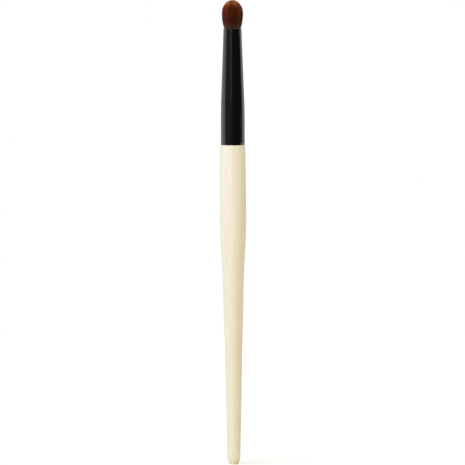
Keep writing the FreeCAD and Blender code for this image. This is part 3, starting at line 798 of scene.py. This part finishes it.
def lacquered_metal(settings):
    """Glossy black lacquer over drawn metal, rubbed at the rim, where the pale bare metal also serves as a
    painted highlight.
    """
    finish = Finish("black lacquered metal", ior=1.68)
    nodes = finish.nodes
    drawn = nodes.noise(nodes.stretched(finish.place, 1.0, 1.0, 0.02), scale=5200.0)
    # Rubbed rim: real wear, and with the pale bare metal also a painted highlight along the rim's edge.
    rubbed = finish.rubbed(RIM, reach=0.22 * MM, patch_size=0.5 * MM)
    worn = nodes.smooth(rubbed, 0.05, 0.6)
    deepest_black = (0.0018, 0.0018, 0.002, 1.0)
    black = nodes.mix(drawn, rgba(settings.lacquer), deepest_black)
    finish.set("Base Color", nodes.mix(worn * 0.7, black, rgba(settings.rim_wear_and_highlight)))
    finish.set("Metallic", worn * 0.55)
    finish.set("Roughness", finish.speckle(0.6 * MM, low=0.1, high=0.17) + drawn * 0.04 + worn * 0.2)
    speck = finish.speckle(0.4 * MM, low=0.0, high=1.0, output="Speck")
    finish.bump(drawn * 0.6 + speck * 0.4, distance=0.004 * MM, strength=0.2)
    return finish.material


def brown_hair(settings):
    """Brown hair with worn tips, and painted light that makes the tuft's two sides paler than its darker
    middle.
    """
    finish = Finish("brown hair", ior=1.45, specular_ior_level=0.1)
    nodes = finish.nodes

    def read(name):
        return nodes.field("ShaderNodeAttribute", output="Fac", attribute_name=name)

    height = read("hair_height")
    tone = read("hair_tone")
    lock = read("hair_lock")
    # Locks differ less in colour towards the top of the dome.
    lock_tone = (lock - 0.5) * (1.0 - 0.7 * nodes.smooth(height, 0.68, 0.92))
    uneven = (tone - 0.5) * 0.16 + lock_tone * 0.2
    shifted = height + uneven
    worn = height * 0.6 + read("hair_end") * 0.4 + uneven
    hair = rgba(settings.root_colour)
    hair = nodes.mix(nodes.smooth(shifted, 0.03, 0.2), hair, rgba(settings.middle_colour))
    hair = nodes.mix(nodes.smooth(shifted, 0.35, 0.8), hair, rgba(settings.upper_colour))
    hair = nodes.mix(nodes.smooth(worn, 0.87, 1.0), hair, rgba(settings.tip_colour))
    # Painted light: the tuft's two sides are made paler, the left the most, for the light that the tuft's
    # edges catch. This leaves painted shade in the middle.
    side = read("hair_side") + (lock - 0.5) * 0.5
    pale = nodes.smooth(side, -0.25, -0.55) * 0.6 + nodes.smooth(side, 0.35, 0.85) * 0.3
    shade = (0.5 + tone * 0.8 + lock_tone * 1.6) * (0.73 + pale)
    fleck = nodes.noise(nodes.stretched(finish.place, 1.0, 1.0, 0.2), scale=4000.0)
    hair = nodes.shaded(hair, shade)
    finish.set("Base Color", nodes.mix(fleck * 0.12, hair, rgba(settings.root_colour)))
    finish.set("Roughness", 0.38 + tone * 0.14)
    return finish.material


def set_glue(name, tint, low, high):
    """Set glue with small bubbles, and a roughness that varies between low and high."""
    finish = Finish(name, ior=1.5)
    nodes = finish.nodes
    bubble = nodes.smooth(nodes.noise(finish.place, scale=3000.0, detail=1.0), 0.62, 0.72)
    bubble_colour = (0.9, 0.88, 0.82, 1.0)
    glue = nodes.shaded(rgba(tint), finish.speckle(0.8 * MM, low=0.8, high=1.1))
    finish.set("Base Color", nodes.mix(bubble * 0.3, glue, bubble_colour))
    finish.set("Roughness", finish.speckle(0.5 * MM, low, high))
    finish.bump(bubble, distance=0.02 * MM, strength=0.6)
    return finish.material


def binding_cotton(tint):
    """Twisted cotton thread with loose fibres."""
    finish = Finish("binding cotton", ior=1.45, sheen_weight=0.3)
    nodes = finish.nodes
    twist = nodes.field(
        "ShaderNodeTexWave",
        {
            "Vector": nodes.stretched(finish.place, 1.0, 1.0, 0.4),
            "Scale": 2600.0,
            "Distortion": 2.0,
            "Detail": 2.0,
        },
        output="Fac",
        bands_direction="DIAGONAL",
    )
    fibre = nodes.noise(finish.place, scale=9000.0, detail=3.0)
    finish.set("Base Color", nodes.shaded(rgba(tint), 0.7 + twist * 0.25 + fibre * 0.15))
    finish.set("Roughness", 0.75 + fibre * 0.2)
    finish.bump(twist * 0.7 + fibre * 0.3, distance=0.03 * MM, strength=0.8)
    return finish.material


def paper(settings):
    """Pale floor that shows as the white background and still takes the brush's shadow."""
    finish = Finish(
        "pale floor",
        base_color=rgba(settings.floor),
        roughness=0.9,
        specular_ior_level=0.0,
        emission_color=rgba(settings.background),
    )
    nodes = finish.nodes
    distance = nodes.field("ShaderNodeVectorMath", {0: finish.place}, output="Value", operation="LENGTH")
    near_edge = 0.2
    far_edge = 0.9
    far = nodes.smooth(distance, near_edge, far_edge)
    finish.set("Emission Strength", (0.34 + 0.26 * far) * background_rays(nodes))
    return finish.material


def background_rays(nodes):
    """1 for rays that show the background: straight from the camera, mirrored or through glass."""
    path = nodes.add("ShaderNodeLightPath")
    seen = nodes.math("MAXIMUM", path.outputs["Is Camera Ray"], path.outputs["Is Glossy Ray"])
    return nodes.math("MAXIMUM", seen, path.outputs["Is Transmission Ray"])


class EYESHADOW_BRUSH_OT_turn_handle(bpy.types.Operator):
    """Turn the wooden handle and lacquer it"""

    bl_idname = "eyeshadow_brush.turn_handle"
    bl_label = "Turn Handle"

    def execute(self, context):
        settings = context.scene.brush_handle
        tree = group_of("Turned piece", turning_tree)
        piece = turned_piece("turned_handle", handle_profile(settings), tree, lacquered_wood(settings))
        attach(piece, "brush_body")
        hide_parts("handle")
        return {"FINISHED"}


class EYESHADOW_BRUSH_OT_draw_ferrule(bpy.types.Operator):
    """Draw the metal ferrule and lacquer it black"""

    bl_idname = "eyeshadow_brush.draw_ferrule"
    bl_label = "Draw Ferrule"

    def execute(self, context):
        settings = context.scene.brush_ferrule
        tree = group_of("Turned piece", turning_tree)
        piece = turned_piece("drawn_ferrule", ferrule_profile(settings), tree, lacquered_metal(settings))
        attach(piece, "brush_body")
        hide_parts("ferrule")
        return {"FINISHED"}


class EYESHADOW_BRUSH_OT_set_hair(bpy.types.Operator):
    """Grow the tuft of hair in three stretches, its heel, belly and toe"""

    bl_idname = "eyeshadow_brush.set_hair"
    bl_label = "Set Hair"

    def execute(self, context):
        settings = context.scene.brush_hair
        tree = hair_tree()
        shared = {
            "Sides": HAIR_SIDES,
            "Rings": HAIR_RINGS,
            "Rim": RIM,
            "Root Depth": RIM - ROOTS,
            "Tip Height": TIP - RIM,
            "Material": brown_hair(settings),
        }
        # A setting goes to the input of the same name.
        for setting in (
            "hairs", "seed", "thickness", "mouth_radius", "neck_radius", "neck_top", "neck_foot",
            "root_flare", "tuft_radius", "widest_height", "side_curve", "lean_start", "lean", "ragged",
            "sway", "lock_size", "lock_pull",
        ):
            shared[label_of(setting)] = getattr(settings, setting)
        stretches = (
            ("hair_heel", (ROOTS - RIM, 0.0), (HEEL_TOP, 0.0), 0.0),
            ("hair_belly", (HEEL_TOP, 0.0), (BELLY_TOP, BELLY_SPREAD), 0.0),
            ("hair_toe", (BELLY_TOP, BELLY_SPREAD), (TIP - RIM, 0.0), settings.tip_taper),
        )
        made = {}
        for node, (low, low_spread), (high, high_spread), taper in stretches:
            values = {
                **shared,
                "From": low,
                "From Spread": low_spread,
                "To": high,
                "To Spread": high_spread,
                "Tip Taper": taper,
            }
            name = f"{node}_strands"
            made[node] = run_tree(name, bpy.data.meshes.new(name), tree, values)
            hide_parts(node)
        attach(made["hair_heel"], "brush_body")
        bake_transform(made["hair_belly"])
        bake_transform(made["hair_toe"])
        return {"FINISHED"}


class EYESHADOW_BRUSH_OT_finish_bonds(bpy.types.Operator):
    """Give the glue and the binding thread inside the ferrule their materials"""

    bl_idname = "eyeshadow_brush.finish_bonds"
    bl_label = "Finish Bonds"

    def execute(self, context):
        settings = context.scene.brush_bonds
        finishes = {
            "hair_glue": set_glue("set epoxy", settings.epoxy, low=0.12, high=0.25),
            "tenon_glue": set_glue("tenon adhesive", settings.adhesive, low=0.4, high=0.6),
            "binding_thread": binding_cotton(settings.cotton),
        }
        for node, material in finishes.items():
            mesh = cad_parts[node].data
            mesh.materials.clear()
            mesh.materials.append(material)
        return {"FINISHED"}


def add_lamp(name, azimuth, elevation, distance, target, width, height, power):
    """Soft lamp at an angle round the brush, 0 at the camera and negative on its left."""
    lamp = bpy.data.lights.new(name, "AREA")
    lamp.shape = "RECTANGLE"
    lamp.size = width
    lamp.size_y = height
    lamp.energy = power
    item = bpy.data.objects.new(name, lamp)
    bpy.context.scene.collection.objects.link(item)
    side = math.radians(azimuth)
    lift = math.radians(elevation)
    way = Vector((math.sin(side) * math.cos(lift), -math.cos(side) * math.cos(lift), math.sin(lift)))
    item.location = target + way * distance
    item.rotation_euler = (target - item.location).to_track_quat("-Z", "Y").to_euler()
    return lamp


def light_room(settings):
    """Window on the left, warm wall on the right and pale paper behind, with a dim room for reflections."""
    world = bpy.data.worlds.new("studio")
    bpy.context.scene.world = world
    world.use_nodes = True
    nodes = Nodes(world.node_tree)
    path = nodes.add("ShaderNodeLightPath")
    way = nodes.field("ShaderNodeTexCoord", output="Generated")
    right = nodes.part(way, "X")
    back = nodes.part(way, "Y")
    window = nodes.vector("SCALE", settings.window, settings.window_power)
    ambient = nodes.mix(nodes.smooth(right, -0.4, 0.4), window, rgba(settings.wall))
    ambient = nodes.mix(nodes.smooth(back, -0.2, 0.2), ambient, rgba(settings.backdrop))
    # Reflections see the paper, turned a little to the left and dimmer straight behind the brush, and a
    # dim room that is a little lighter on the left.
    paper_side = back * 0.982 - right * 0.187
    paper_seen = nodes.smooth(paper_side, 0.0, 0.07) * (1.0 - 0.6 * nodes.smooth(back, 0.72, 0.98))
    dim_room = 0.015 + 0.1 * nodes.smooth(right * -1.0, -0.3, 0.9)
    level = dim_room + (1.0 - dim_room) * paper_seen
    mirrored = nodes.combine(level, level, level)
    light = nodes.mix(path.outputs["Is Glossy Ray"], ambient, mirrored)
    straight = nodes.math("MAXIMUM", path.outputs["Is Camera Ray"], path.outputs["Is Transmission Ray"])
    light = nodes.mix(straight, light, rgba(settings.background))
    nodes.feed(world.node_tree.nodes["Background"], "Color", light)


class EYESHADOW_BRUSH_OT_set_stage(bpy.types.Operator):
    """Set up the floor, the light and the camera"""

    bl_idname = "eyeshadow_brush.set_stage"
    bl_label = "Set Stage"

    def execute(self, context):
        settings = context.scene.brush_stage
        context.scene.view_settings.view_transform = "Standard"
        floor_mesh = bpy.data.meshes.new("floor")
        side = 1.5
        front = -0.15
        back = 0.8
        level = -0.02 * MM
        corners = [(-side, front, level), (side, front, level), (side, back, level), (-side, back, level)]
        floor_mesh.from_pydata(corners, [], [(0, 1, 2, 3)])
        floor_mesh.materials.append(paper(settings))
        floor = bpy.data.objects.new("floor", floor_mesh)
        context.scene.collection.objects.link(floor)

        light_room(settings)
        middle = Vector((0.0, 0.0, settings.picture_middle))
        key = add_lamp(
            "key",
            azimuth=-30,
            elevation=45,
            distance=1.0,
            target=middle,
            width=0.5,
            height=0.5,
            power=settings.key_power,
        )
        key.color = settings.key_colour
        add_lamp(
            "strip",
            azimuth=-18.5,
            elevation=18.5,
            distance=0.8,
            target=middle,
            width=0.16,
            height=0.36,
            power=settings.strip_power,
        )

        camera = bpy.data.cameras.new("camera")
        camera.lens = settings.lens
        camera.clip_start = 0.01
        item = bpy.data.objects.new("camera", camera)
        context.scene.collection.objects.link(item)
        distance = settings.picture_height * settings.lens / camera.sensor_width
        rise = settings.elevation
        away = Vector((-settings.shift / distance, -math.cos(rise), math.sin(rise))) * distance
        item.location = middle + away
        tilt = Matrix.Rotation(math.pi / 2 - rise, 3, "X")
        item.rotation_euler = (tilt @ Matrix.Rotation(-settings.roll, 3, "Z")).to_euler()
        context.scene.camera = item
        return {"FINISHED"}


class VIEW3D_PT_eyeshadow_brush(bpy.types.Panel):
    """Sizes, colours and steps of the brush"""

    bl_label = "Eyeshadow Brush"
    bl_space_type = "VIEW_3D"
    bl_region_type = "UI"
    bl_category = "Eyeshadow Brush"

    def draw(self, context):
        for group, _, step in STEPS:
            box = self.layout.box()
            settings = getattr(context.scene, group)
            for name in settings.__annotations__:
                box.prop(settings, name)
            box.operator(step.bl_idname)


STEPS = (
    ("brush_handle", HandleSettings, EYESHADOW_BRUSH_OT_turn_handle),
    ("brush_ferrule", FerruleSettings, EYESHADOW_BRUSH_OT_draw_ferrule),
    ("brush_hair", HairSettings, EYESHADOW_BRUSH_OT_set_hair),
    ("brush_bonds", BondSettings, EYESHADOW_BRUSH_OT_finish_bonds),
    ("brush_stage", StageSettings, EYESHADOW_BRUSH_OT_set_stage),
)
CLASSES = (
    *(settings for _, settings, _ in STEPS),
    *(step for _, _, step in STEPS),
    VIEW3D_PT_eyeshadow_brush,
)


def register():
    for item in CLASSES:
        bpy.utils.register_class(item)
    for group, settings, _ in STEPS:
        setattr(bpy.types.Scene, group, bpy.props.PointerProperty(type=settings))


def unregister():
    for group, _, _ in STEPS:
        delattr(bpy.types.Scene, group)
    for item in reversed(CLASSES):
        bpy.utils.unregister_class(item)


def main():
    register()
    bpy.ops.eyeshadow_brush.turn_handle()
    bpy.ops.eyeshadow_brush.draw_ferrule()
    bpy.ops.eyeshadow_brush.set_hair()
    bpy.ops.eyeshadow_brush.finish_bonds()
    bpy.ops.eyeshadow_brush.set_stage()


if __name__ == "__main__":
    main()
